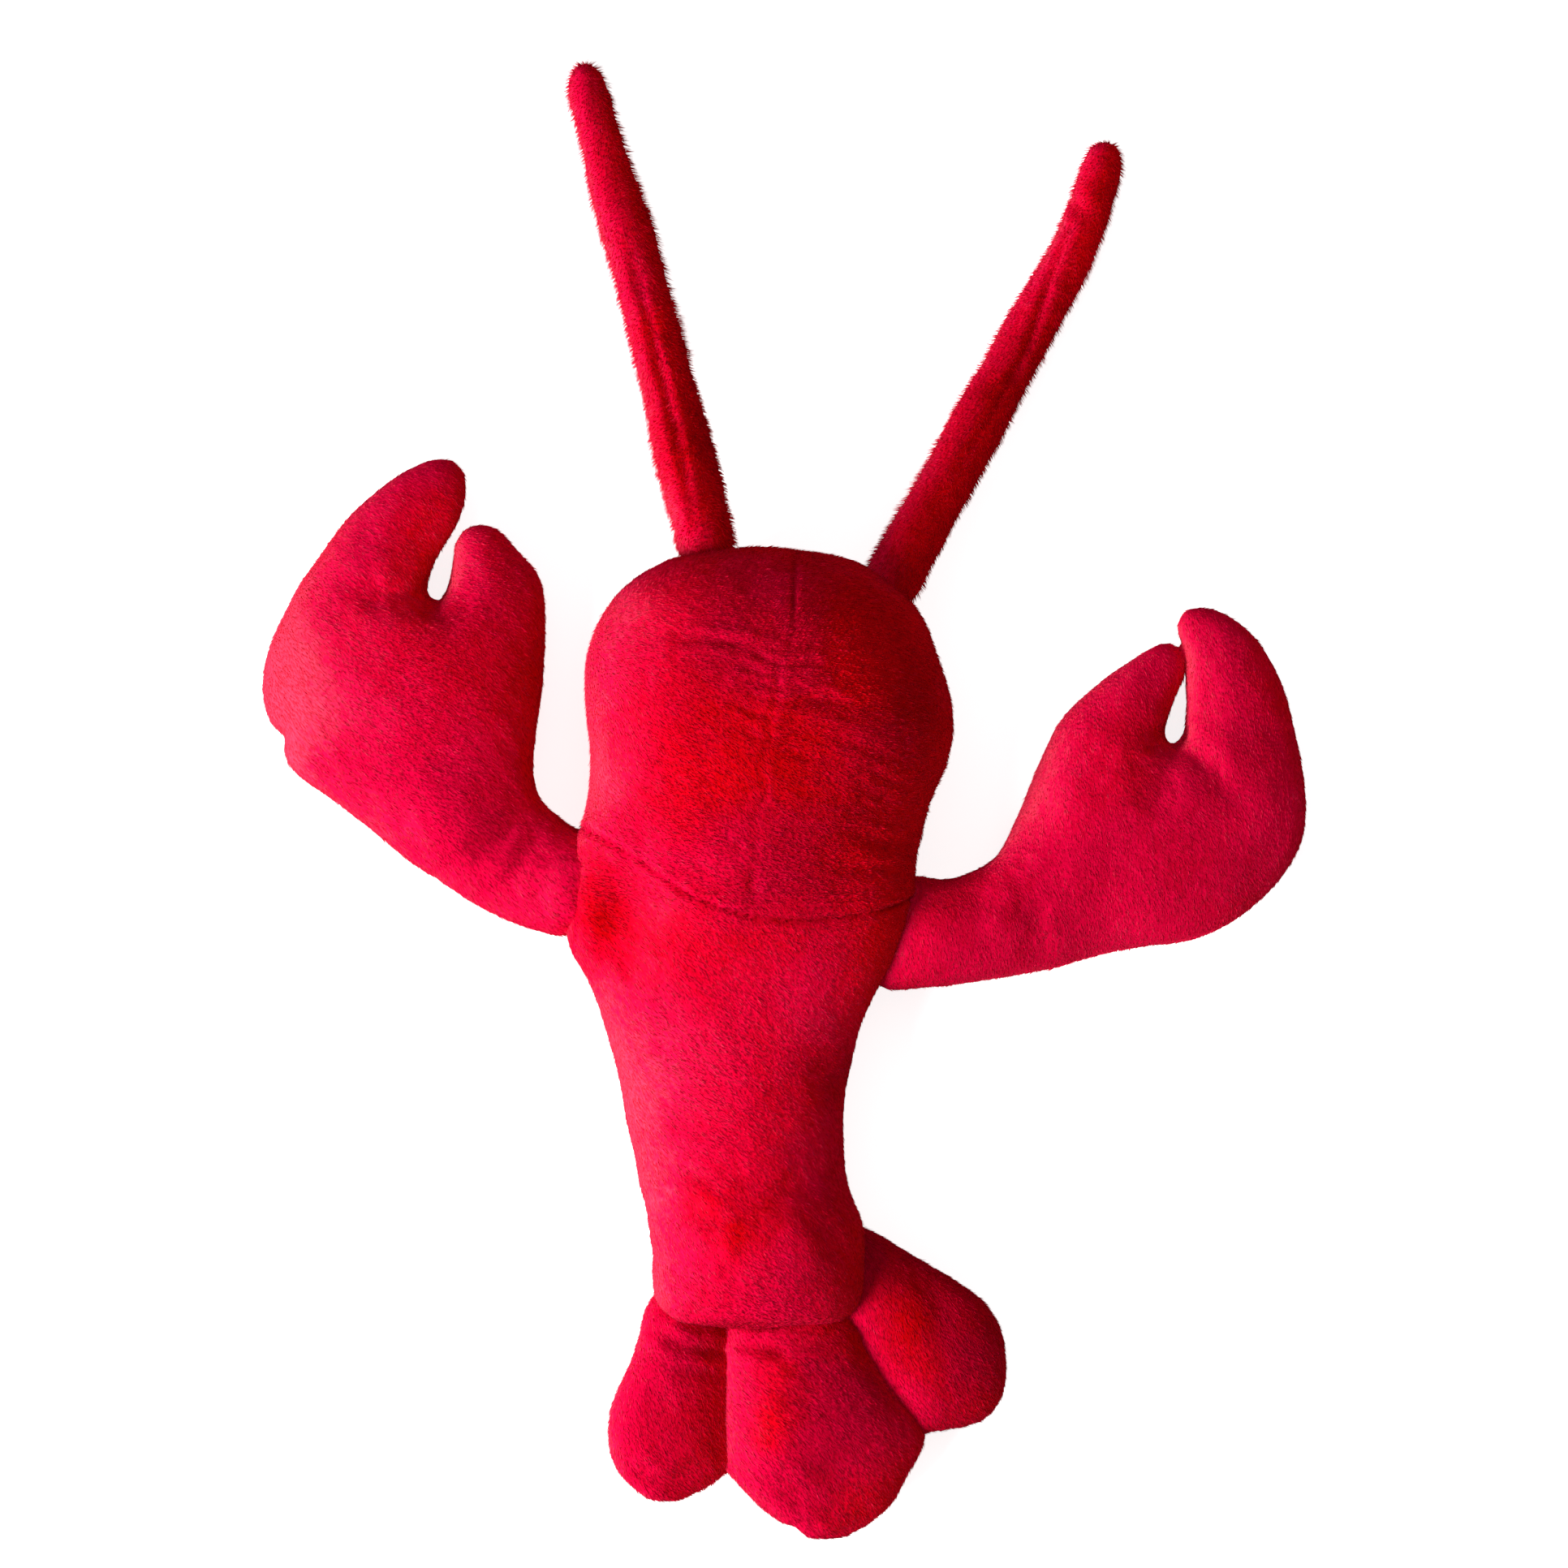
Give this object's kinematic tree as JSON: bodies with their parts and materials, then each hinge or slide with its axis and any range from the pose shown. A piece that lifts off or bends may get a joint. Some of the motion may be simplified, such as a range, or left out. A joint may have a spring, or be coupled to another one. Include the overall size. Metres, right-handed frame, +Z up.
{
  "type": "plush dog toy",
  "caption": "Plush lobster dog toy: a stuffed body with curving claws, long antennae and a lobed tail fan, lying flat on its belly.",
  "frame": {"origin": "on the flattened belly, under the front of the abdomen, in the plane that the toy rests on", "axes": "+Y towards the head, +Z up out of the back, +X towards the lobster's own right"},
  "size_m": [0.3223, 0.4571, 0.0762],
  "materials": {
    "red_plush": "short brushed pile"
  },
  "bodies": {
    "root": {"carapace": "red_plush", "abdomen": "red_plush", "left_claw": "red_plush", "right_claw": "red_plush", "left_antenna": "red_plush", "right_antenna": "red_plush", "left_tail_lobe": "red_plush", "centre_tail_lobe": "red_plush", "right_tail_lobe": "red_plush"}
  },
  "joints": []
}
